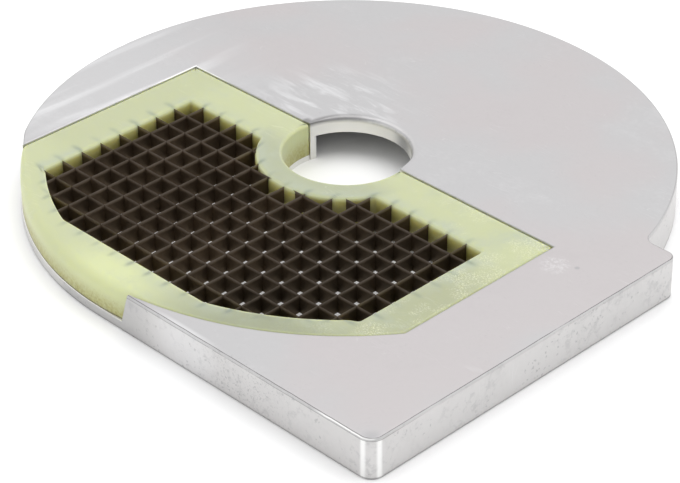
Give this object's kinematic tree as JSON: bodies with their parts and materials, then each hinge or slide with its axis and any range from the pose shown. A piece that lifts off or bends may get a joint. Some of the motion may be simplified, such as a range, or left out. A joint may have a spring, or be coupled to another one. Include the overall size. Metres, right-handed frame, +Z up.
{
  "type": "dicing grid",
  "caption": "Dicing grid of a vegetable cutting machine: a cast disc with a square block, a moulded frame and a lattice of crossed steel blades beside a central bore.",
  "frame": {"origin": "on the axis of the bore, in the plane that the grid rests on", "axes": "+Z up along the bore axis to the cutting edges, +X along the straight side of the plastic frame towards the square block, +Y away from the blades"},
  "size_m": [0.2231, 0.2129, 0.014],
  "materials": {
    "cast_aluminium": "cast and tumbled, matt, with small nicks and pits",
    "frame_plastic": "moulded, translucent pale yellow green, scuffed",
    "blade_steel": "dark tempered strip with a thin ground edge"
  },
  "bodies": {
    "root": {"cast_body": "cast_aluminium", "plastic_frame": "frame_plastic", "cross_blade_01": "blade_steel", "cross_blade_02": "blade_steel", "cross_blade_03": "blade_steel", "cross_blade_04": "blade_steel", "cross_blade_05": "blade_steel", "cross_blade_06": "blade_steel", "cross_blade_07": "blade_steel", "cross_blade_08": "blade_steel", "cross_blade_09": "blade_steel", "cross_blade_10": "blade_steel", "cross_blade_11": "blade_steel", "cross_blade_12": "blade_steel", "cross_blade_13": "blade_steel", "cross_blade_14": "blade_steel", "cross_blade_15": "blade_steel", "cross_blade_16": "blade_steel", "long_blade_01_left": "blade_steel", "long_blade_01_right": "blade_steel", "long_blade_02": "blade_steel", "long_blade_03": "blade_steel", "long_blade_04": "blade_steel", "long_blade_05": "blade_steel", "long_blade_06": "blade_steel", "long_blade_07": "blade_steel", "long_blade_08": "blade_steel", "long_blade_09": "blade_steel"}
  },
  "joints": []
}
